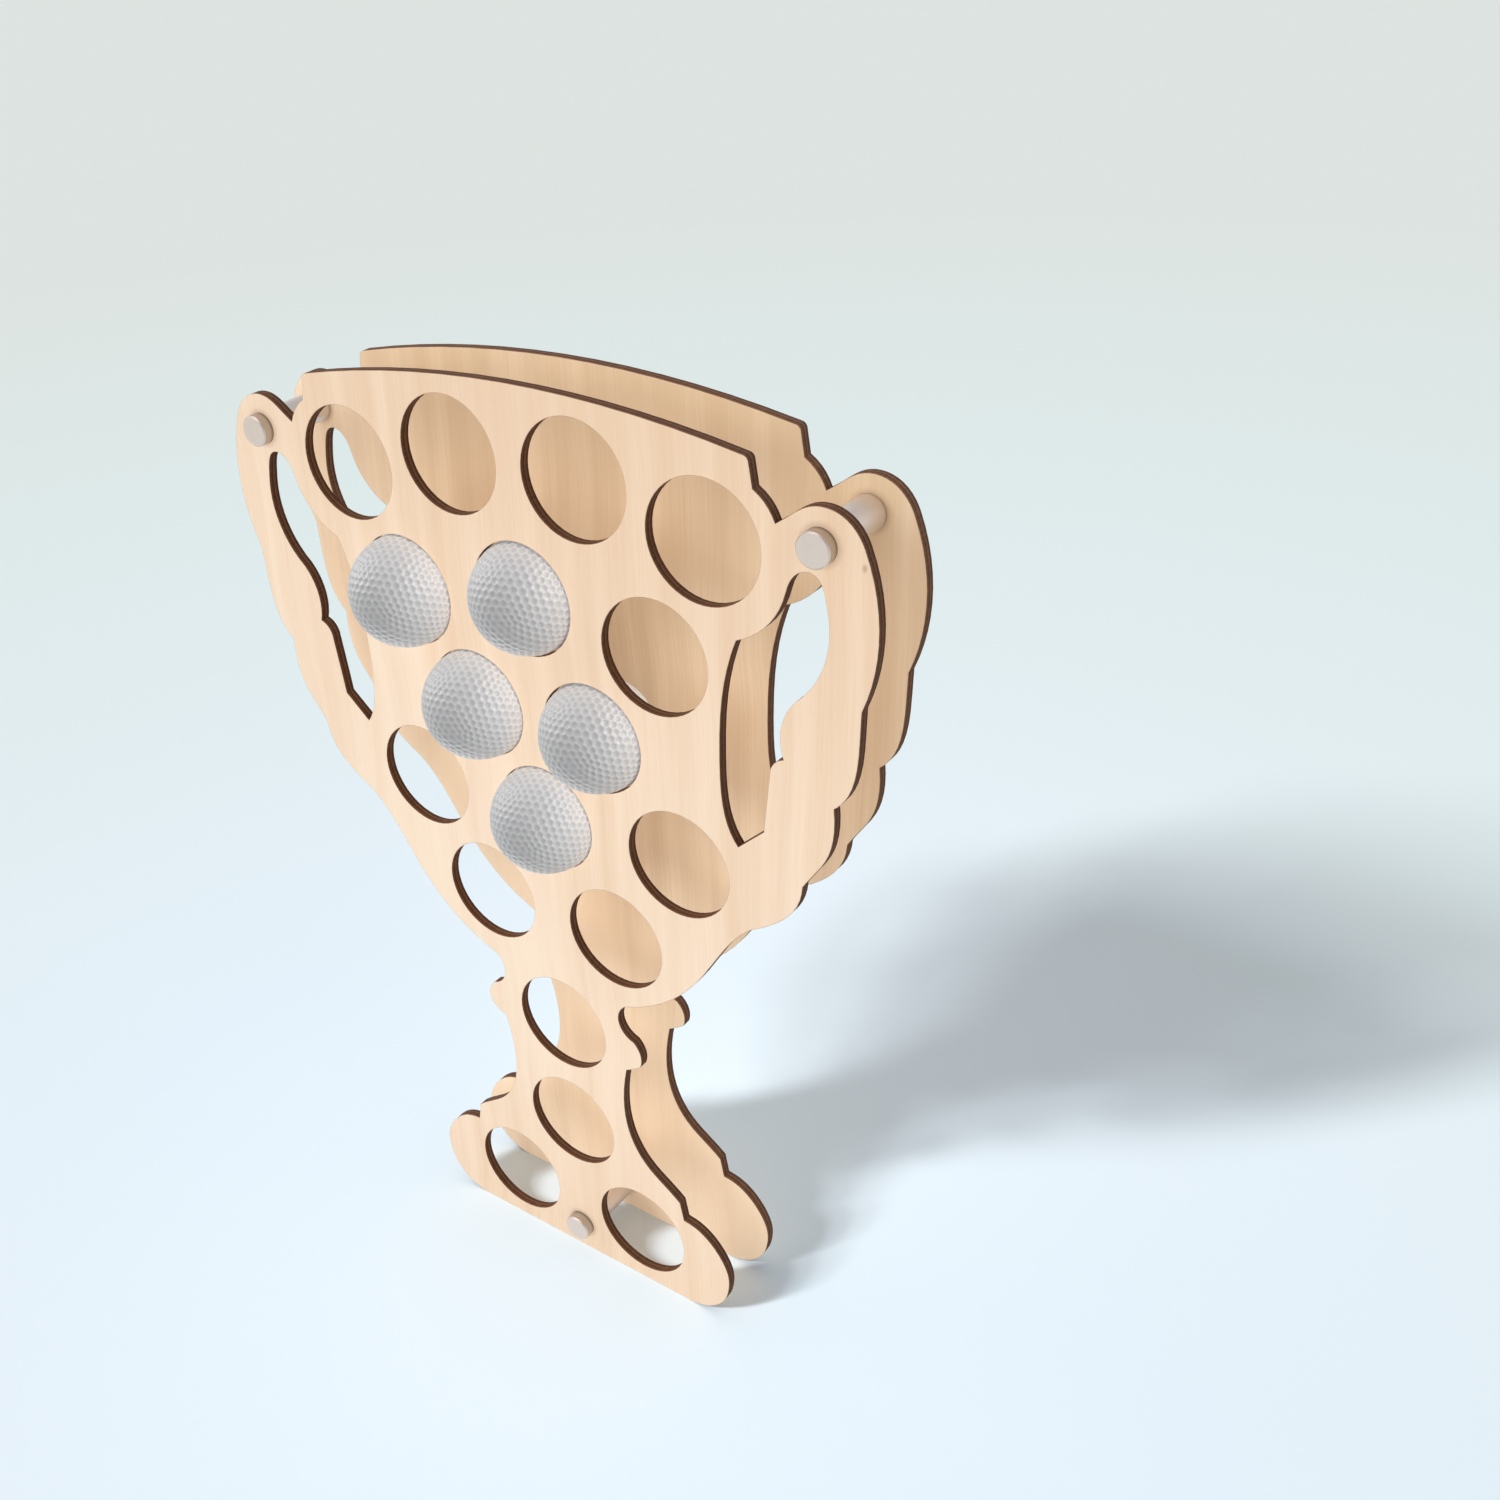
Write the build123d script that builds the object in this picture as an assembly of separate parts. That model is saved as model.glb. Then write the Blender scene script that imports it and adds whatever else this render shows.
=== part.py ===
from build123d import *
import os

# Golf ball display stand, in millimetres. Two trophy-shaped plywood panels stand upright, one
# behind the other, on their flat feet. Three metal standoffs hold them apart. The front panel
# has eighteen round holes, and a golf ball pushes into each as far as its widest part.
# X runs to the right, Y from the front panel to the rear one, and Z up. The origin is the middle
# of the front panel's foot, halfway through the wood.

# Panels
panel_width = 278.6
panel_height = 392.7
panel_thickness = 4.0
shoulder_radius = 2.2

# Balls
ball_diameter = 42.67
ball_clearance = 0.315
proud_seat = -2.3
shallow_seat = -1.5
deep_seat = 1.8

# Standoffs: a cap with a stud in front, a barrel in the gap, and a screw from behind
standoff_diameter = 12.0
standoff_chamfer = 0.5
cap_height = 4.5
barrel_length = 26.0
thread_diameter = 6.0
thread_clearance = 0.05
screw_hole_clearance = 0.25
stud_engagement = 10.0
screw_engagement = 9.0
thread_lead_in = 0.7
screw_head_diameter = 10.5
screw_head_height = 3.3
screw_head_rim = 0.8
socket_across_flats = 4.0
socket_land = 0.8
socket_depth = 2.0

# The panel's outline and hole centres are drawn at this size, then stretched to the panel's own
drawn_width = 278.6
drawn_height = 392.7
shoulder_corner = (94.5, 383.0)

# Hole centres on the drawing, as (x, z). The fourth row sits a little to the right of the middle
fourth_row_shift = 1.5
ball_hole_rows = [
    [(-77.1, 352.3), (-27.1, 363.6), (27.1, 363.6), (77.1, 352.3)],
    [(-56.0, 306.8), (0, 315.4), (56.0, 306.8)],
    [(-26.5, 267.2), (26.5, 267.2)],
    [(x + fourth_row_shift, 225.9) for x in (-60.3, 0, 60.3)],
    [(-30.5, 180.7), (30.5, 180.7)],
    [(0, 126.4)],
    [(0, 73.4)],
    [(-33.2, 28.1), (33.2, 28.1)],
]
standoff_places = {"left": (-120.9, 358.7), "right": (119.1, 359.7), "foot": (0, 13.3)}

# The balls in place: row and place in the row, both from 0, and how far back of the middle of
# the wood each is pushed
balls_in_place = {
    "golf_ball_upper_left": (1, 0, proud_seat),
    "golf_ball_upper_middle": (1, 1, deep_seat),
    "golf_ball_middle_left": (2, 0, shallow_seat),
    "golf_ball_middle_right": (2, 1, deep_seat),
    "golf_ball_lower_middle": (3, 1, shallow_seat),
}

# Worked out from the sizes above
ball_hole_radius = ball_diameter / 2 + ball_clearance
screw_hole_radius = thread_diameter / 2 + screw_hole_clearance
thread_radius = thread_diameter / 2 - thread_clearance
panel_spacing = panel_thickness + barrel_length


def at(x, z):
    """A point of the drawing, stretched to the panel's own width and height."""
    return (x * panel_width / drawn_width, z * panel_height / drawn_height)


def curve(start, *middle, end, runs):
    """A smooth curve through points of the drawing; runs are its directions at both ends."""
    return Spline(*[at(x, z) for x, z in (start, *middle, end)], tangents=runs)


def arc(start, middle, end):
    """A circular arc through three points of the drawing."""
    return ThreePointArc(at(*start), at(*middle), at(*end))


def straight(start, end):
    """A straight cut between two points of the drawing."""
    return Line(at(*start), at(*end))


def trophy_side():
    """The right-hand edge of the trophy, from the middle of the crown down to the foot."""
    ear_top = (96.0, 373.2)
    crest_notch = (103.8, 363.7)
    crest_rise = (0.84, 0.54)
    handle_back = (134.2, 361.3)
    notches = [(133.9, 307.8), (124.5, 269.9), (112.8, 235.2), (91.5, 209.0)]
    bowl_start_run = (-0.77, -0.63)
    bowl_end_run = (-0.94, -0.34)
    bowl_end = (32.8, 149.0)
    collar_top = (35.7, 132.4)
    collar_tip = (38.4, 121.0)
    stem_top = (31.2, 116.2)
    stem_top_run = (-0.23, -0.97)
    stem_end_run = (0.73, -0.68)
    stem_end = (54.1, 55.5)
    foot_notch = (55.7, 46.5)
    foot_slope = (1, -0.06)
    foot_tip = (76.3, 16.3)
    foot_end = (56.3, 0)
    # Each leaf's direction at its top, its middle point and its direction at its tip
    leaves = [
        ((-0.06, -1.0), (133.7, 303.8), (-0.79, -0.62)),
        ((0.10, -1.0), (121.9, 249.5), (-0.51, -0.86)),
        ((-0.07, -1.0), (106.9, 220.7), (-0.86, -0.51)),
    ]

    # Crown, then the small ear between the crown's side and the handle
    arc((0, drawn_height), (49.8, 390.0), shoulder_corner)
    straight(shoulder_corner, ear_top)
    arc(ear_top, (100.7, 369.1), crest_notch)
    # Handle: its crest, its back and three leaves, with a sharp notch after each
    back = arc(handle_back, (139.3, 334.5), notches[0])
    curve(crest_notch, (115.8, 371.4), end=handle_back, runs=[at(*crest_rise), back % 0])
    for (top_run, middle, tip_run), top, tip in zip(leaves, notches, notches[1:]):
        curve(top, middle, end=tip, runs=[at(*top_run), at(*tip_run)])
    # Bowl, collar, stem and foot
    bowl_runs = [at(*bowl_start_run), at(*bowl_end_run)]
    curve(notches[-1], (69.1, 177.9), end=bowl_end, runs=bowl_runs)
    arc(bowl_end, (29.0, 141.9), collar_top)
    arc(collar_top, (39.0, 126.4), collar_tip)
    arc(collar_tip, (35.2, 118.6), stem_top)
    curve(stem_top, (40.1, 66.3), end=stem_end, runs=[at(*stem_top_run), at(*stem_end_run)])
    straight(stem_end, foot_notch)
    toe = TangentArc(at(*foot_end), at(*foot_tip), tangent=(1, 0))
    foot_runs = [at(*foot_slope), -(toe % 1)]
    curve(foot_notch, (67.2, 42.1), (76.4, 28.6), end=foot_tip, runs=foot_runs)
    straight(foot_end, (0, 0))


def handle_side():
    """The edge of the right-hand handle's opening, clockwise from its lowest corner."""
    low_corner = (87.5, 242.5)
    low_run = (-0.63, 0.77)
    bowl_run = (0.38, 0.93)
    bowl_corner = (88.8, 321.3)
    crest_start = (107.2, 341.9)
    crest_end = (122.1, 337.5)
    leaf_top = (110.4, 305.0)
    leaf_tip = (105.9, 282.5)
    hook_end = (100.7, 275.8)
    inner_corner = (98.0, 252.2)

    curve(low_corner, (81.0, 273.6), end=bowl_corner, runs=[at(*low_run), at(*bowl_run)])
    shoulder = arc(bowl_corner, (100.5, 329.3), crest_start)
    back = arc(crest_end, (120.4, 319.7), leaf_top)
    curve(crest_start, (116.9, 350.0), end=crest_end, runs=[shoulder % 1, back % 0])
    arc(leaf_top, (105.3, 295.3), leaf_tip)
    arc(leaf_tip, (102.3, 280.2), hook_end)
    arc(hook_end, (99.4, 265.0), inner_corner)
    straight(inner_corner, low_corner)


def trophy_sketch():
    """The trophy's face, with both handle openings and the three standoff holes."""
    with BuildSketch() as trophy:
        with BuildLine():
            trophy_side()
            mirror(about=Plane.YZ)
        make_face()
        x, z = at(*shoulder_corner)
        corners = [trophy.vertices().sort_by_distance((side * x, z))[0] for side in (-1, 1)]
        fillet(corners, shoulder_radius)
        with BuildSketch(mode=Mode.SUBTRACT):
            with BuildLine():
                handle_side()
            make_face()
            mirror(about=Plane.YZ)
        with Locations(*[at(x, z) for x, z in standoff_places.values()]):
            Circle(screw_hole_radius, mode=Mode.SUBTRACT)
    return trophy.sketch


def ball_hole_sketch():
    """The eighteen ball holes."""
    with BuildSketch() as holes:
        with Locations(*[at(x, z) for row in ball_hole_rows for x, z in row]):
            Circle(ball_hole_radius)
    return holes.sketch


def panel(sketch, y):
    """A sketch cut out of the wood, with the middle of its thickness at y."""
    back = Plane(origin=(0, y + panel_thickness / 2, 0), x_dir=(1, 0, 0), z_dir=(0, -1, 0))
    return extrude(back * sketch, amount=panel_thickness)


def turned(*profile):
    """A piece turned about the Y axis from the (radius, y) points of its half section."""
    return revolve(make_face(Polyline(*profile, close=True)), Axis.Y)


def standoff_cap():
    """The round head on the front face, with its stud through the panel into the barrel."""
    seat = -panel_thickness / 2
    face = seat - cap_height
    tip = panel_thickness / 2 + stud_engagement
    radius = standoff_diameter / 2
    return turned(
        (0, face),
        (radius - standoff_chamfer, face),
        (radius, face + standoff_chamfer),
        (radius, seat),
        (thread_radius, seat),
        (thread_radius, tip - thread_lead_in),
        (thread_radius - thread_lead_in, tip),
        (0, tip),
    )


def standoff_barrel():
    """The tube between the panels, threaded right through."""
    front = panel_thickness / 2
    back = front + barrel_length
    outer = standoff_diameter / 2
    bore = thread_diameter / 2
    return turned(
        (bore, front),
        (outer - standoff_chamfer, front),
        (outer, front + standoff_chamfer),
        (outer, back - standoff_chamfer),
        (outer - standoff_chamfer, back),
        (bore, back),
    )


def rear_screw():
    """The round-headed screw behind the rear panel, with a hexagon socket."""
    seat = panel_spacing + panel_thickness / 2
    tip = seat - panel_thickness - screw_engagement
    crown = seat + screw_head_height
    head_radius = screw_head_diameter / 2
    rim = (head_radius, seat + screw_head_rim)
    land = (socket_across_flats / 2 + socket_land, crown)
    with BuildPart() as screw:
        with BuildSketch(Plane.XY):
            with BuildLine():
                Polyline(
                    land,
                    (0, crown),
                    (0, tip),
                    (thread_radius - thread_lead_in, tip),
                    (thread_radius, tip + thread_lead_in),
                    (thread_radius, seat),
                    (head_radius, seat),
                    rim,
                )
                TangentArc(rim, land, tangent=(0, 1))
            make_face()
        revolve(axis=Axis.Y)
        with BuildSketch(Plane(origin=(0, crown, 0), x_dir=(1, 0, 0), z_dir=(0, -1, 0))):
            RegularPolygon(socket_across_flats / 2, 6, major_radius=False)
        extrude(amount=socket_depth, mode=Mode.SUBTRACT)
    return screw.part


def golf_ball(row, place, depth):
    """A ball in its hole."""
    x, z = at(*ball_hole_rows[row][place])
    return Pos(x, depth, z) * Sphere(ball_diameter / 2)


def build_pieces():
    """Every piece of the stand, by name."""
    trophy = trophy_sketch()
    pieces = {
        "front_panel": panel(trophy - ball_hole_sketch(), 0),
        "rear_panel": panel(trophy, panel_spacing),
    }
    for side, place in standoff_places.items():
        x, z = at(*place)
        pieces[f"{side}_standoff_cap"] = Pos(x, 0, z) * standoff_cap()
        pieces[f"{side}_standoff_barrel"] = Pos(x, 0, z) * standoff_barrel()
        pieces[f"{side}_rear_screw"] = Pos(x, 0, z) * rear_screw()
    for name, seat in balls_in_place.items():
        pieces[name] = golf_ball(*seat)
    return pieces


os.makedirs("parts", exist_ok=True)
for name, piece in build_pieces().items():
    export_step(piece, f"parts/{name}.step")
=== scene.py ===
import math

import bmesh
import bpy
from mathutils import Matrix, Vector
from mathutils.kdtree import KDTree


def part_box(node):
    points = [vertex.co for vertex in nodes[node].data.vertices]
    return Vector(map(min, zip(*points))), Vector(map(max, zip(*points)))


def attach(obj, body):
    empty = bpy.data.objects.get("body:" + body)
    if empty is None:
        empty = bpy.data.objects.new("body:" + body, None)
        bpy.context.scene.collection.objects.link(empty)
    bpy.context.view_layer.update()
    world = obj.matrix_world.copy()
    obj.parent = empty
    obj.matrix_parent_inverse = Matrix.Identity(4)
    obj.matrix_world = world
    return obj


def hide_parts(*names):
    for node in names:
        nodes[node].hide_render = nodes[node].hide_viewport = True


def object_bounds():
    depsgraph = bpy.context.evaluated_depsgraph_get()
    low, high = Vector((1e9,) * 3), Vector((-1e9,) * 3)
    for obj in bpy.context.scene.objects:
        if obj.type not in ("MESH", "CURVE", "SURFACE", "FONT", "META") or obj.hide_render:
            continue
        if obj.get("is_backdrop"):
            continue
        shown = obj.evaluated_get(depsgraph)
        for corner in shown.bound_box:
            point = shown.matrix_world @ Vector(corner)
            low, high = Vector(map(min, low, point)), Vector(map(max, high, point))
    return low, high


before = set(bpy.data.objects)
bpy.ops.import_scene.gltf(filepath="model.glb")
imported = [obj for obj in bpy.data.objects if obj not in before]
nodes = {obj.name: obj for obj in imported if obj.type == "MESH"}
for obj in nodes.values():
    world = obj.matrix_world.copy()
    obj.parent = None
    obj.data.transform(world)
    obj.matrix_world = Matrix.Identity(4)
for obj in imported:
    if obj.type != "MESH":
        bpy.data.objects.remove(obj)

cad_low, cad_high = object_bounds()
MM = 0.001


def srgb(red, green, blue):
    """An 8-bit sRGB colour as linear RGBA."""
    def linear(value):
        value /= 255
        return value / 12.92 if value <= 0.04045 else ((value + 0.055) / 1.055) ** 2.4
    return (linear(red), linear(green), linear(blue), 1)


# A name that ends in SPAN holds the two values between which something eases from 0 to 1, or
# between two amounts given with it. One that ends in STEP holds the span and then those two
# amounts. A pair that ends in ROUGHNESS or TINT holds how much a noise adds, and what it adds to

# Camera
CAMERA_PLACE = (0.34437, -0.38659, 0.55120)
CAMERA_AZIMUTH = math.radians(39.54)
CAMERA_ELEVATION = math.radians(30.38)
CAMERA_ROLL = math.radians(-4.515)
CAMERA_LENS = 38.97
CAMERA_SENSOR = 36
CAMERA_SHIFT = (0.10427, 0.00653)
CAMERA_NEAR = 0.01
CAMERA_FAR = 100

# Studio sky: bright sides, less light from above, and dim towards the front
SKY_SIDES = 0.95
SKY_TOP = 0.55
SKY_FRONT = -0.62
SKY_TOP_SPAN = (0.05, 0.85)
SKY_FRONT_SPAN = (-0.1, -0.95)

# Lamps: strength, width in degrees, whether it casts a shadow, the way its light travels, and the
# group of pieces that it lights. The keys only give the floor its shadow: they share its near edge
# and fade its far one. The fills light the front wood with the barrels and screws, the caps, the
# rear panel, and the back of the stand. The wide lamp gives the soft shade that the front panel
# casts on the rear one. The rims graze the balls
LAMPS = {
    "key_low": (0.85, 6, True, (0.75, 1.34, -1.0), "floor"),
    "key_middle": (0.95, 6, True, (0.55, 1.10, -1.0), "floor"),
    "key_steep": (0.75, 7, True, (0.37, 0.90, -1.0), "floor"),
    "front_fill": (2.42, 60, False, (0.40, 0.85, -0.60), "front"),
    "cap_fill": (1.25, 60, False, (0.40, 0.85, -0.60), "caps"),
    "rear_fill": (1.1, 60, False, (0.30, 0.95, -0.50), "rear"),
    "rear_wide": (1.3, 75, True, (0.20, 0.93, -0.58), "rear"),
    "back_fill": (0.8, 60, False, (-0.30, -0.90, -0.50), "back"),
    "rim_right": (1.7, 14, False, (-0.75, -0.10, -0.52), "balls"),
    "rim_left": (1.35, 20, False, (0.90, 0.25, -0.32), "balls"),
    "rim_low": (0.62, 30, False, (0.50, -0.10, 0.85), "balls"),
}

# Floor and backdrop. The floor's colour changes with the distance from its middle
FLOOR_RAMP = [
    (0.05, srgb(231, 245, 255)),
    (0.13, srgb(227, 239, 248)),
    (0.25, srgb(223, 235, 239)),
    (0.33, srgb(221, 233, 235)),
    (0.60, srgb(218, 229, 228)),
    (1.00, srgb(218, 224, 221)),
]
FLOOR_RAMP_LENGTH = 2.0
FLOOR_BOUNCE = srgb(182, 180, 178)
FLOOR_REACH = 12.0
FLOOR_SIDES = 96
FLOOR_ROUGHNESS = 0.9
BACKDROP = srgb(222, 228, 225)

# Noises in the wood, with the size of their marks along x, y and z in millimetres
DRIFT = {"size": (150, 400, 90), "detail": 1}
BANDS = {"size": (11, 40, 420), "detail": 2, "roughness": 0.55}
FIBRES = {"size": (0.9, 5, 55), "detail": 3, "roughness": 0.6}
FLECKS = {"size": (0.42, 2, 7), "detail": 1}
CLOUD = {"size": (120, 120, 160), "detail": 1}
UNEVEN = {"size": (5, 5, 5), "detail": 2}
LINES = {"size": (0.45, 9, 0.45), "detail": 2, "roughness": 0.7}
NOISE_MIDDLE = 0.5

# Grain and tone of the wood's faces, with painted shade at the foot and painted light towards the
# lower left. The larger the shade, the darker the wood
GRAIN_WANDER = 0.012
GRAIN_DEPTH = 0.2
BANDS_SHARE = 0.9
FIBRES_SHARE = 0.45
CLOUD_SHARE = 0.35
SHADE_SPAN = (0.70, 1.75)
# Painted shade at the foot
FOOT_PAINTED_SHADE_SPAN = (0.0, 0.3)
# Painted light: the front side of the wood grows paler towards the bowl's lower left
LOW_LEFT_LEAN = 0.5
LOW_LEFT_SPAN = (0.055, 0.115)
LOW_LEFT_RISE_SPAN = (0.2, 0.4)
FRONT_SIDE_STEP = (-0.8, -0.4, 1.0, 0.0)
STREAK = srgb(230, 190, 156)
FLECK_STEP = (0.66, 0.80, 0.0, 0.22)
FIBRE_STEP = (0.60, 0.80, 0.0, 0.18)
FRONT_TONE = {
    "light": srgb(254, 233, 209),
    "dark": srgb(235, 203, 171),
    "rise": 0.55,
    "foot": 0.4,
    "low_left": -0.2,
    "knot": True,
}
REAR_TONE = {
    "light": srgb(252, 230, 201),
    "dark": srgb(219, 191, 156),
    "rise": 0.7,
    "foot": 0.0,
    "low_left": -0.5,
    "knot": False,
}

# A pin knot near the top of the right handle, in millimetres. It runs through the wood
KNOT_COLOUR = srgb(160, 126, 96)
KNOT_PLACE = (134.1, 0, 355.6)
KNOT_SIZE = (1.0, 1e6, 1.5)
KNOT_STEP = (0.2, 1.3, 0.5, 0.0)

# Painted shade round the standoffs, where they meet the wood
SEAT_PAINTED_SHADE = srgb(168, 126, 96)
SEAT_PAINTED_SHADE_STEP = (5.8 * MM, 8.6 * MM, 0.34, 0.0)

# Cut edges, from the front of the wood to its back, and the scorch that they leave on the faces
WALL_RAMP = [
    (0.00, srgb(156, 112, 80)),
    (0.12, srgb(118, 80, 56)),
    (0.30, srgb(104, 68, 46)),
    (0.42, srgb(74, 45, 29)),
    (0.56, srgb(132, 92, 64)),
    (0.70, srgb(112, 74, 50)),
    (0.84, srgb(78, 48, 32)),
    (1.00, srgb(96, 62, 42)),
]
PLY_WAVER = 0.16
LINES_COLOUR = srgb(44, 27, 20)
LINES_STEP = (0.35, 0.75, 0.0, 0.5)
PATCH_COLOUR = srgb(120, 84, 58)
PATCH_STEP = (0.5, 0.8, 0.0, 0.35)
SCORCH = srgb(150, 102, 68)
SCORCH_STEP = (0.72, 0.995, 0.8, 0.0)

# Surface of the wood
WOOD_IOR = 1.45
WOOD_SPECULAR = 0.35
FACE_SPAN = (0.4, 0.8)
FACE_ROUGHNESS = (0.16, 0.46)
WALL_ROUGHNESS = 0.86
LINES_HEIGHT = 1.6
WOOD_ROUNDING = 0.45 * MM
WOOD_ROUNDING_SAMPLES = 6
WOOD_BUMP = {"Strength": 0.35, "Distance": 0.05 * MM}

# Metal, with fine rings from the lathe. The caps and barrels have other colours on their sides:
# the caps' sides are darker than their ends, which is painted shade, and the barrels' sides are
# greyer
ALUMINIUM = srgb(239, 221, 211)
ALUMINIUM_ROUGHNESS = 0.42
CAP_SIDE_PAINTED_SHADE = srgb(197, 188, 178)
BARREL_SIDE = srgb(229, 221, 216)
CAP_TO_BARREL_SPAN = (-MM, MM)
STEEL = srgb(195, 194, 193)
STEEL_ROUGHNESS = 0.26
RINGS = {"detail": 3, "roughness": 0.7}
RING_WIDTH = 0.03
RING_SLANT = 1.7
PIECE_MIDDLE = (0.5, 0.5, 0.5)
RING_ROUGHNESS = 0.18
METAL_CLOUD = {"detail": 2, "scale": 320}
METAL_CLOUD_ROUGHNESS = 0.06
METAL_TINT = (0.10, 0.93)
# Painted shade on the metal next to the wood faces
METAL_PAINTED_SHADE_STEP = (0.0, 1.7 * MM, 0.5, 1.0)
METAL_END_SPAN = (0.3, 0.9)
METAL_ROUNDING = 0.12 * MM
METAL_ROUNDING_SAMPLES = 4
METAL_BUMP = {"Strength": 0.25, "Distance": 0.02 * MM}

# Balls
BALL_COLOUR = srgb(226, 226, 228)
# A grey for the painted shade in the dimples, and for the cover's faint mottle
BALL_DIMPLE_SHADE_AND_MOTTLE = srgb(205, 206, 208)
BALL_COAT = 0.25
BALL_COAT_ROUGHNESS = 0.30
BALL_CLOUD = {"detail": 2, "scale": 140}
BALL_CLOUD_STEP = (0.3, 0.7, 0.0, 0.12)
BALL_SCUFF = {"detail": 4, "roughness": 0.7, "scale": 900}
BALL_ROUGHNESS = (0.12, 0.42)
BALL_BUMP = {"Strength": 0.08, "Distance": 0.02 * MM}
BALL_LEVEL = 7

# Dimples, laid out on an evenly divided icosahedron: the steps along its edges, the way that one of
# its corners points, how deep a dimple is, its radius as a share of the distance to the nearest
# other one, and the shares of the depth between which the painted shade in a dimple goes from
# darkest to none
DIMPLE_RUN = 9
DIMPLE_POLE = (0.44, -0.90, -0.02)
DIMPLE_DEPTH = 0.44 * MM
DIMPLE_SHARE = 0.56
DIMPLE_PAINTED_SHADE_SHARE = 0.8
DIMPLE_UNSHADED_SHARE = 0.1

# Places of the Mix node's sockets
COLOUR_INPUTS = (0, 6, 7)
COLOUR_OUTPUT = 2
VALUE_INPUTS = (0, 2, 3)


def put(tree, socket, value):
    """Links an output to a socket, or sets the socket's own value."""
    if isinstance(value, bpy.types.NodeSocket):
        tree.links.new(value, socket)
    else:
        socket.default_value = value


def add(tree, kind, inputs=None, **settings):
    """A new node with its settings and inputs."""
    node = tree.nodes.new("ShaderNode" + kind)
    for key, value in settings.items():
        setattr(node, key, value)
    for key, value in (inputs or {}).items():
        put(tree, node.inputs[key], value)
    return node


def calc(tree, operation, *values, clamp=False):
    """The output of a Math node."""
    node = add(tree, "Math", dict(enumerate(values)), operation=operation, use_clamp=clamp)
    return node.outputs[0]


def vector_calc(tree, operation, *values):
    """The output of a Vector Math node: a number for a length or distance, or else a vector."""
    node = add(tree, "VectorMath", dict(enumerate(values)), operation=operation)
    return node.outputs["Value" if operation in ("LENGTH", "DISTANCE") else "Vector"]


def mix(tree, *values):
    """The colour that a factor mixes from two colours."""
    node = add(tree, "Mix", dict(zip(COLOUR_INPUTS, values)), data_type="RGBA")
    return node.outputs[COLOUR_OUTPUT]


def mix_value(tree, *values):
    """The number that a factor mixes from two numbers."""
    return add(tree, "Mix", dict(zip(VALUE_INPUTS, values)), data_type="FLOAT").outputs[0]


def ease(tree, value, low, high, start=0.0, end=1.0):
    """A smooth step of a value from low to high, as start to end."""
    limits = dict(enumerate((value, low, high, start, end)))
    return add(tree, "MapRange", limits, interpolation_type="SMOOTHSTEP").outputs[0]


def stretch(tree, vector, sizes, centre=(0, 0, 0)):
    """A vector in metres, from a centre in millimetres, divided by sizes in millimetres."""
    scale = [1 / (size * MM) for size in sizes]
    offset = [-place / size for place, size in zip(centre, sizes)]
    node = add(tree, "Mapping", {"Vector": vector, "Scale": scale, "Location": offset})
    return node.outputs[0]


def noise(tree, vector, size=None, detail=2.0, roughness=0.5, scale=1.0):
    """The value of a Noise texture, with marks of a size in millimetres where it is given."""
    if size:
        vector = stretch(tree, vector, size)
    values = {"Vector": vector, "Scale": scale, "Detail": detail, "Roughness": roughness}
    return add(tree, "TexNoise", values).outputs[0]


def ramp(tree, value, stops):
    """A colour ramp through (place, colour) stops."""
    node = add(tree, "ValToRGB", {0: value})
    elements = node.color_ramp.elements
    while len(elements) < len(stops):
        elements.new(1.0)
    for element, (place, colour) in zip(elements, stops):
        element.position = place
        element.color = colour
    return node.outputs[0]


def coordinate(tree, kind):
    """A texture coordinate."""
    return add(tree, "TexCoord").outputs[kind]


def split(tree, vector):
    """The x, y and z of a vector."""
    return add(tree, "SeparateXYZ", {0: vector}).outputs


def flatten(tree, vector):
    """A vector without its y."""
    return vector_calc(tree, "MULTIPLY", vector, (1, 0, 1))


def rounded(tree, radius, samples):
    """The surface's direction, as if its edges were rounded."""
    return add(tree, "Bevel", {"Radius": radius}, samples=samples).outputs[0]


def new_material(name, **values):
    """A material, its node tree and its surface shader, with plain values set."""
    material = bpy.data.materials.new(name)
    material.use_nodes = True
    tree = material.node_tree
    surface = tree.nodes["Principled BSDF"]
    for key, value in values.items():
        surface.inputs[key.replace("_", " ")].default_value = value
    return material, tree, surface


def wood_grain(tree, place):
    """The place in the wood's grain, which runs up the panel and wanders slowly sideways."""
    across, depth, height = split(tree, place)
    drift = noise(tree, place, **DRIFT)
    wander = calc(tree, "MULTIPLY_ADD", drift, GRAIN_WANDER, across)
    depth = calc(tree, "MULTIPLY", depth, GRAIN_DEPTH)
    return add(tree, "CombineXYZ", {0: wander, 1: depth, 2: height}).outputs[0]


def wood_shade(tree, place, facing, grain, fibres, tone):
    """How dark the wood's face is, from its bands and fibres and where on the panel it is, with
    painted shade at the foot and painted light towards the lower left.
    """
    across, _, height = split(tree, place)
    shade = calc(tree, "MULTIPLY", fibres, FIBRES_SHARE)
    shade = calc(tree, "MULTIPLY_ADD", noise(tree, grain, **BANDS), BANDS_SHARE, shade)
    shade = calc(tree, "MULTIPLY_ADD", noise(tree, place, **CLOUD), CLOUD_SHARE, shade)
    rise = calc(tree, "MULTIPLY", height, 1 / cad_high.z)
    shade = calc(tree, "MULTIPLY_ADD", rise, tone["rise"], shade)
    # Painted shade: darker at the foot
    shade = calc(tree, "ADD", shade, ease(tree, rise, *FOOT_PAINTED_SHADE_SPAN, tone["foot"], 0.0))

    # Painted light: paler towards the lower left of the bowl, on the front side only
    lean = calc(tree, "MULTIPLY_ADD", height, LOW_LEFT_LEAN, across)
    painted_light = ease(tree, lean, *LOW_LEFT_SPAN, tone["low_left"], 0.0)
    painted_light = calc(tree, "MULTIPLY", painted_light, ease(tree, rise, *LOW_LEFT_RISE_SPAN))
    painted_light = calc(tree, "MULTIPLY", painted_light, ease(tree, facing, *FRONT_SIDE_STEP))
    return calc(tree, "ADD", shade, painted_light)


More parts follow.
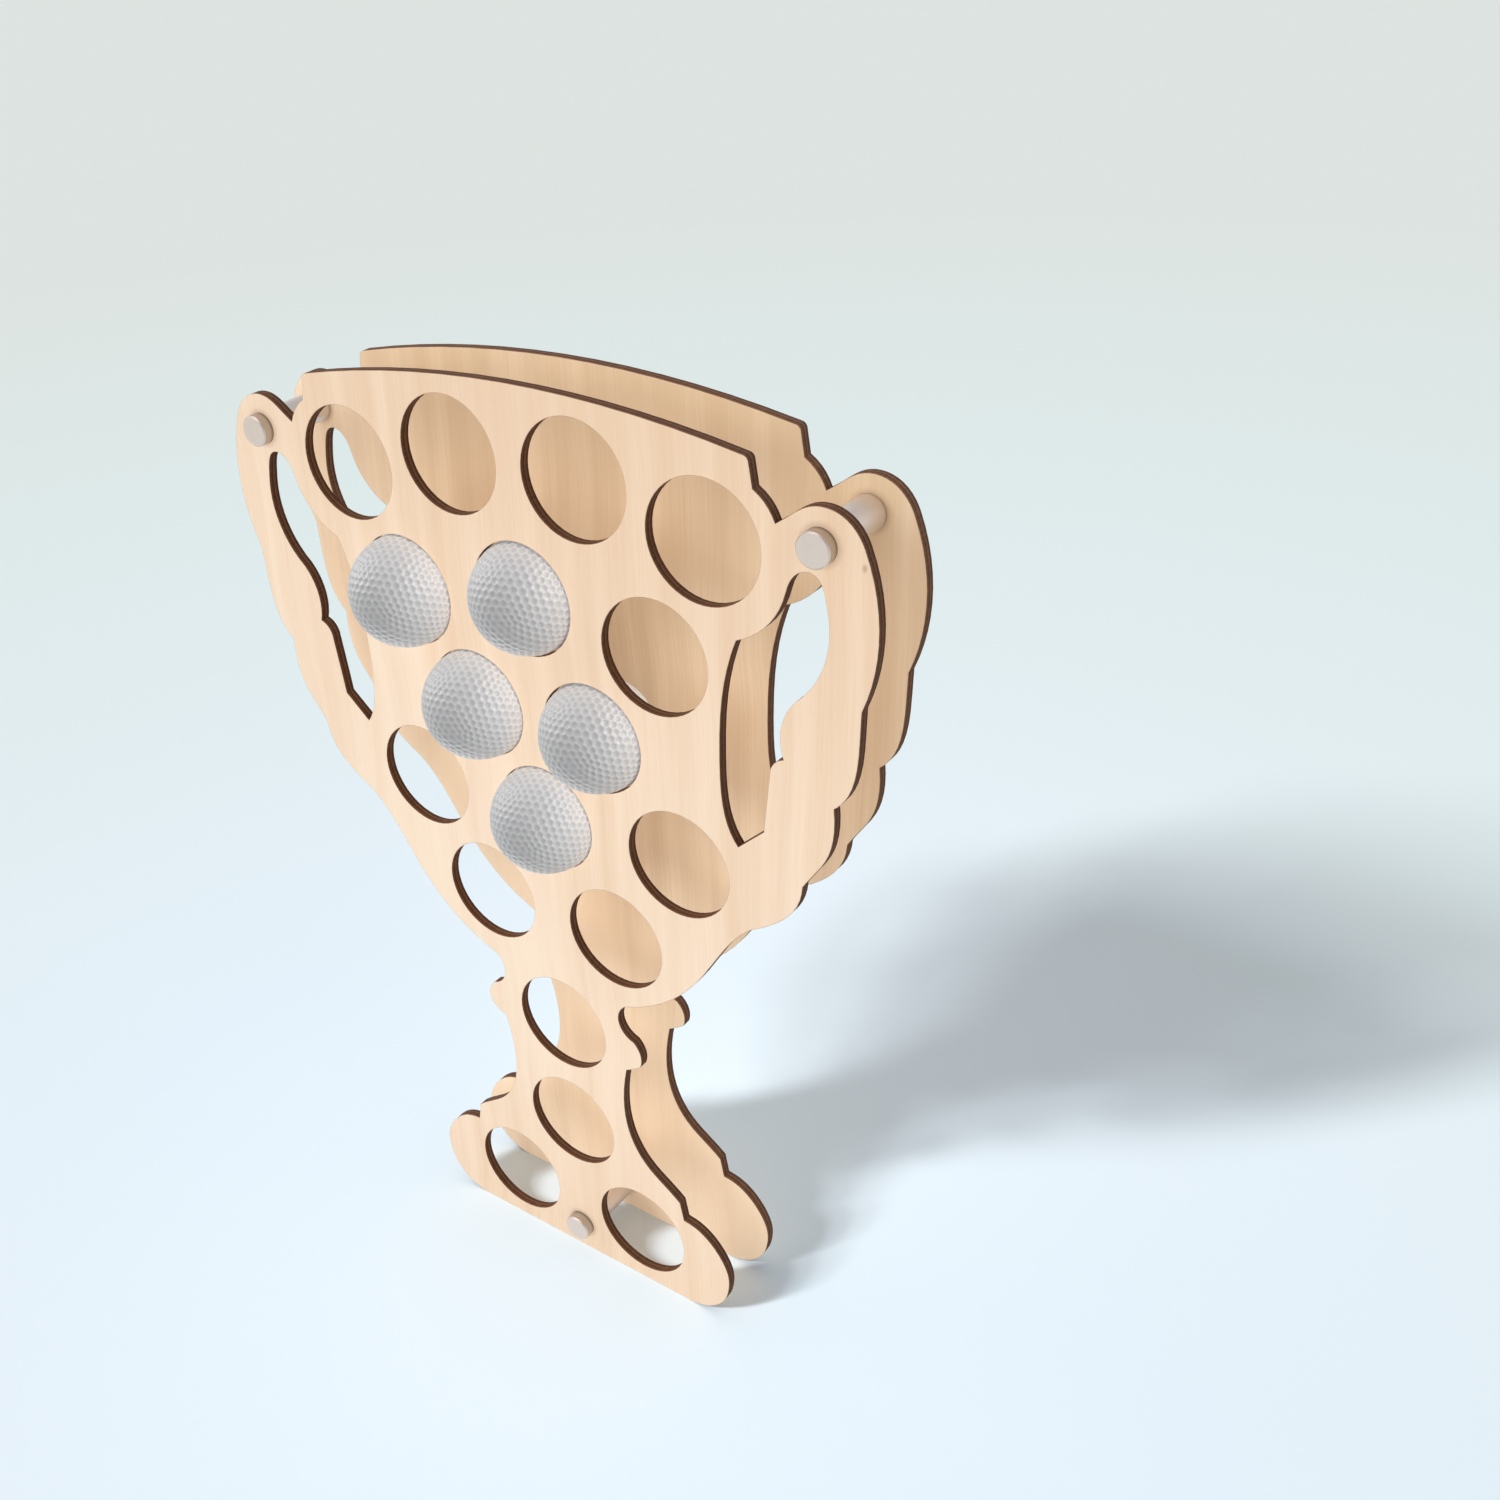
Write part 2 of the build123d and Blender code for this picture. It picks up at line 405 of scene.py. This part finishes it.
def face_colour(tree, place, facing, grain, fibres, tone):
    """The colour of the wood's faces, with its streaks, its knot and painted shade round the
    standoffs.
    """
    shade = wood_shade(tree, place, facing, grain, fibres, tone)
    colour = mix(tree, ease(tree, shade, *SHADE_SPAN), tone["light"], tone["dark"])
    flecks = noise(tree, grain, **FLECKS)
    colour = mix(tree, ease(tree, flecks, *FLECK_STEP), colour, STREAK)
    colour = mix(tree, ease(tree, fibres, *FIBRE_STEP), colour, STREAK)
    if tone["knot"]:
        away = vector_calc(tree, "LENGTH", stretch(tree, place, KNOT_SIZE, KNOT_PLACE))
        colour = mix(tree, ease(tree, away, *KNOT_STEP), colour, KNOT_COLOUR)
    # Painted shade round each standoff, where it meets the wood
    flat = flatten(tree, place)
    for barrel in barrels:
        low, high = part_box(barrel)
        middle = (low + high) / 2
        apart = vector_calc(tree, "DISTANCE", flat, (middle.x, 0, middle.z))
        colour = mix(tree, ease(tree, apart, *SEAT_PAINTED_SHADE_STEP), colour, SEAT_PAINTED_SHADE)
    return colour


def wall_colour(tree, place, panel, uneven, lines):
    """The colour of the cut edges: three plies, with fine lines across the thickness."""
    low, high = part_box(panel)
    depth = calc(tree, "SUBTRACT", split(tree, place)[1], low.y)
    depth = calc(tree, "DIVIDE", depth, high.y - low.y, clamp=True)
    waver = calc(tree, "SUBTRACT", uneven, NOISE_MIDDLE)
    colour = ramp(tree, calc(tree, "MULTIPLY_ADD", waver, PLY_WAVER, depth), WALL_RAMP)
    colour = mix(tree, ease(tree, lines, *LINES_STEP), colour, LINES_COLOUR)
    return mix(tree, ease(tree, uneven, *PATCH_STEP), colour, PATCH_COLOUR)


def wood_material(name, panel, tone):
    """Pale plywood with scorched cut edges."""
    material, tree, surface = new_material(name, IOR=WOOD_IOR, Specular_IOR_Level=WOOD_SPECULAR)
    place = coordinate(tree, "Object")
    facing = split(tree, coordinate(tree, "Normal"))[1]
    grain = wood_grain(tree, place)
    fibres = noise(tree, grain, **FIBRES)
    lines = noise(tree, place, **LINES)
    face = face_colour(tree, place, facing, grain, fibres, tone)
    wall = wall_colour(tree, place, panel, noise(tree, place, **UNEVEN), lines)

    soft = rounded(tree, WOOD_ROUNDING, WOOD_ROUNDING_SAMPLES)
    leaning = calc(tree, "ABSOLUTE", split(tree, soft)[1])
    face = mix(tree, ease(tree, leaning, *SCORCH_STEP), face, SCORCH)
    on_face = ease(tree, calc(tree, "ABSOLUTE", facing), *FACE_SPAN)
    put(tree, surface.inputs["Base Color"], mix(tree, on_face, wall, face))
    rough = calc(tree, "MULTIPLY_ADD", fibres, *FACE_ROUGHNESS)
    put(tree, surface.inputs["Roughness"], mix_value(tree, on_face, WALL_ROUGHNESS, rough))
    height = mix_value(tree, on_face, calc(tree, "MULTIPLY", lines, LINES_HEIGHT), fibres)
    bump = add(tree, "Bump", {"Height": height, "Normal": soft, **WOOD_BUMP})
    put(tree, surface.inputs["Normal"], bump.outputs[0])
    return material


def metal_material(name, colour, roughness):
    """Turned metal with fine rings about the piece's own middle, with painted shade where it meets
    the wood.
    """
    material, tree, surface = new_material(name, Metallic=1.0)
    share = coordinate(tree, "Generated")
    place = coordinate(tree, "Object")
    centred = vector_calc(tree, "SUBTRACT", share, PIECE_MIDDLE)
    radius = vector_calc(tree, "LENGTH", flatten(tree, centred))
    turn = calc(tree, "MULTIPLY_ADD", split(tree, share)[1], RING_SLANT, radius)
    turn = calc(tree, "DIVIDE", turn, RING_WIDTH)
    rings = noise(tree, add(tree, "CombineXYZ", {0: turn}).outputs[0], **RINGS)
    cloud = noise(tree, place, **METAL_CLOUD)

    depth = split(tree, place)[1]
    tint = calc(tree, "MULTIPLY_ADD", cloud, *METAL_TINT)
    # Painted shade: the metal darkens within a short reach of each wood face, where it meets the
    # wood
    for wood_face in wood_faces:
        apart = calc(tree, "ABSOLUTE", calc(tree, "SUBTRACT", depth, wood_face))
        tint = calc(tree, "MULTIPLY", tint, ease(tree, apart, *METAL_PAINTED_SHADE_STEP))
    facing = split(tree, coordinate(tree, "Normal"))[1]
    on_end = ease(tree, calc(tree, "ABSOLUTE", facing), *METAL_END_SPAN)
    # Painted shade: the caps' sides are darker than their ends
    side = mix(tree, ease(tree, depth, *CAP_TO_BARREL_SPAN), CAP_SIDE_PAINTED_SHADE, BARREL_SIDE)
    shade = mix(tree, on_end, side, colour)
    put(tree, surface.inputs["Base Color"], vector_calc(tree, "MULTIPLY", shade, tint))

    rough = calc(tree, "MULTIPLY_ADD", rings, RING_ROUGHNESS, roughness - RING_ROUGHNESS / 2)
    rough = calc(tree, "MULTIPLY_ADD", cloud, METAL_CLOUD_ROUGHNESS, rough)
    put(tree, surface.inputs["Roughness"], rough)
    soft = rounded(tree, METAL_ROUNDING, METAL_ROUNDING_SAMPLES)
    bump = add(tree, "Bump", {"Height": rings, "Normal": soft, **METAL_BUMP})
    put(tree, surface.inputs["Normal"], bump.outputs[0])
    return material


def ball_material(radius):
    """A golf ball's lacquered white cover, with painted shade down in the dimples and a faint grey
    mottle.
    """
    material, tree, surface = new_material(
        "ball_cover_visual", Coat_Weight=BALL_COAT, Coat_Roughness=BALL_COAT_ROUGHNESS
    )
    place = coordinate(tree, "Object")
    scuff = noise(tree, place, **BALL_SCUFF)
    height = vector_calc(tree, "LENGTH", place)
    # Painted shade: the cover greys towards the bottom of each dimple
    painted_shade_height = radius - DIMPLE_DEPTH * DIMPLE_PAINTED_SHADE_SHARE
    unshaded_height = radius - DIMPLE_DEPTH * DIMPLE_UNSHADED_SHARE
    colour = mix(tree, ease(tree, height, painted_shade_height, unshaded_height), BALL_DIMPLE_SHADE_AND_MOTTLE, BALL_COLOUR)
    cloud = ease(tree, noise(tree, place, **BALL_CLOUD), *BALL_CLOUD_STEP)
    put(tree, surface.inputs["Base Color"], mix(tree, cloud, colour, BALL_DIMPLE_SHADE_AND_MOTTLE))
    rough = calc(tree, "MULTIPLY_ADD", scuff, *BALL_ROUGHNESS)
    put(tree, surface.inputs["Roughness"], rough)
    bump = add(tree, "Bump", {"Height": scuff, **BALL_BUMP})
    put(tree, surface.inputs["Normal"], bump.outputs[0])
    return material


def floor_material():
    """A pale matt floor, which throws less light on the object than its colour would."""
    material, tree, surface = new_material(
        "floor", Roughness=FLOOR_ROUGHNESS, Specular_IOR_Level=0.0
    )
    away = vector_calc(tree, "LENGTH", coordinate(tree, "Object"))
    colour = ramp(tree, calc(tree, "DIVIDE", away, FLOOR_RAMP_LENGTH, clamp=True), FLOOR_RAMP)
    rays = add(tree, "LightPath").outputs
    seen = calc(tree, "MAXIMUM", rays["Is Camera Ray"], rays["Is Glossy Ray"])
    put(tree, surface.inputs["Base Color"], mix(tree, seen, FLOOR_BOUNCE, colour))
    return material


def dimple_centres():
    """The directions of the dimples, which divide each face of an icosahedron evenly."""
    aim = Vector((0, 0, 1)).rotation_difference(Vector(DIMPLE_POLE))
    rough = bmesh.new()
    bmesh.ops.create_icosphere(rough, subdivisions=1, radius=1)
    rough.verts.index_update()
    centres = {}
    for face in rough.faces:
        for first in range(DIMPLE_RUN + 1):
            for second in range(DIMPLE_RUN + 1 - first):
                shares = list(zip(face.verts, (first, second, DIMPLE_RUN - first - second)))
                key = frozenset((corner.index, share) for corner, share in shares if share)
                centre = sum((corner.co * share for corner, share in shares), Vector())
                centres[key] = aim @ centre.normalized()
    rough.free()
    return list(centres.values())


def ball_mesh(radius):
    """A sphere with its dimples, which meet in fine ridges."""
    centres = dimple_centres()
    tree = KDTree(len(centres))
    for index, centre in enumerate(centres):
        tree.insert(centre, index)
    tree.balance()
    reach = []
    for centre in centres:
        _, (_, _, gap) = tree.find_n(centre, 2)
        reach.append(gap * radius * DIMPLE_SHARE)
    fine = bmesh.new()
    bmesh.ops.create_icosphere(fine, subdivisions=BALL_LEVEL, radius=1)
    for corner in fine.verts:
        direction = corner.co.normalized()
        centre, index, _ = tree.find(direction)
        apart = direction.angle(centre, 0) * radius / reach[index]
        dent = DIMPLE_DEPTH * max(0, 1 - apart ** 2)
        corner.co = direction * (radius - dent)
    mesh = bpy.data.meshes.new("golf_ball")
    fine.to_mesh(mesh)
    fine.free()
    mesh.shade_smooth()
    return mesh


def floor_mesh():
    """A wide flat disc."""
    form = bmesh.new()
    bmesh.ops.create_circle(form, cap_ends=True, segments=FLOOR_SIDES, radius=FLOOR_REACH)
    mesh = bpy.data.meshes.new("floor")
    form.to_mesh(mesh)
    form.free()
    return mesh


def show(name, data):
    """A new object in the scene."""
    item = bpy.data.objects.new(name, data)
    bpy.context.scene.collection.objects.link(item)
    return item


def sun_light(name, strength, width, shadow, travel, pieces):
    """A soft distant lamp that lights only these pieces."""
    sun = bpy.data.lights.new(name, "SUN")
    sun.energy = strength
    sun.angle = math.radians(width)
    sun.use_shadow = shadow
    light = show(name, sun)
    light.rotation_euler = Vector(travel).to_track_quat("-Z", "Y").to_euler()
    lit = bpy.data.collections.new("lit_by_" + name)
    for piece in pieces:
        lit.objects.link(piece)
    light.light_linking.receiver_collection = lit


# Materials on the panels, standoffs and screws
barrels = [name for name in nodes if name.endswith("_barrel")]
wood_faces = [corner.y for name in ("front_panel", "rear_panel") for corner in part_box(name)]
finishes = {
    "front_wood": wood_material("front_wood_visual", "front_panel", FRONT_TONE),
    "rear_wood": wood_material("rear_wood_visual", "rear_panel", REAR_TONE),
    "standoff_metal": metal_material("standoff_metal_visual", ALUMINIUM, ALUMINIUM_ROUGHNESS),
    "screw_steel": metal_material("screw_steel_visual", STEEL, STEEL_ROUGHNESS),
}
for node in nodes.values():
    for index, old in enumerate(node.data.materials):
        if old.name in finishes:
            node.material_slots[index].material = finishes[old.name]

# Golf balls
balls = [name for name in nodes if name.startswith("golf_ball_")]
low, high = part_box(balls[0])
radius = (high.x - low.x) / 2
cover = ball_material(radius)
mesh = ball_mesh(radius)
mesh.materials.append(cover)
dimpled = []
for name in balls:
    low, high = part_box(name)
    ball = show(name.replace("golf_ball", "dimpled_golf_ball"), mesh)
    ball.location = (low + high) / 2
    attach(ball, name.replace("golf_ball_", "") + "_ball")
    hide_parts(name)
    dimpled.append(ball)

# Floor
floor = show("floor", floor_mesh())
floor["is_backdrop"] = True
floor.data.materials.append(floor_material())

# World
world = bpy.data.worlds.new("world")
world.use_nodes = True
bpy.context.scene.world = world
tree = world.node_tree
_, inward, upward = split(tree, coordinate(tree, "Generated"))
level = ease(tree, upward, *SKY_TOP_SPAN, SKY_SIDES, SKY_TOP)
level = calc(tree, "ADD", level, ease(tree, inward, *SKY_FRONT_SPAN, 0.0, SKY_FRONT))
light = vector_calc(tree, "MULTIPLY", (1, 1, 1), level)
seen = add(tree, "LightPath").outputs["Is Camera Ray"]
put(tree, tree.nodes["Background"].inputs["Color"], mix(tree, seen, light, BACKDROP))

# Lamps
lit_groups = {"floor": [floor], "front": [], "caps": [], "rear": [], "back": [], "balls": dimpled}
for name, node in nodes.items():
    if name == "rear_panel":
        lit_groups["rear"].append(node)
    elif name.endswith("_cap"):
        lit_groups["caps"].append(node)
    elif name not in balls:
        lit_groups["front"].append(node)
    if name == "rear_panel" or name.endswith("_rear_screw"):
        lit_groups["back"].append(node)
for name, (*lamp, group) in LAMPS.items():
    sun_light(name, *lamp, lit_groups[group])

# Camera
lens = bpy.data.cameras.new("camera")
lens.sensor_width = CAMERA_SENSOR
lens.lens = CAMERA_LENS
lens.shift_x, lens.shift_y = CAMERA_SHIFT
lens.clip_start = CAMERA_NEAR
lens.clip_end = CAMERA_FAR
camera = show("camera", lens)
level_back = math.cos(CAMERA_ELEVATION)
back = Vector((
    math.sin(CAMERA_AZIMUTH) * level_back,
    -math.cos(CAMERA_AZIMUTH) * level_back,
    math.sin(CAMERA_ELEVATION),
))
right = Vector((0, 0, 1)).cross(back).normalized()
above = back.cross(right)
right, above = (
    right * math.cos(CAMERA_ROLL) + above * math.sin(CAMERA_ROLL),
    above * math.cos(CAMERA_ROLL) - right * math.sin(CAMERA_ROLL),
)
turn = Matrix((right, above, back)).transposed().to_4x4()
camera.matrix_world = Matrix.Translation(CAMERA_PLACE) @ turn
bpy.context.scene.camera = camera

bpy.context.scene.view_settings.view_transform = "Standard"

low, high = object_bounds()
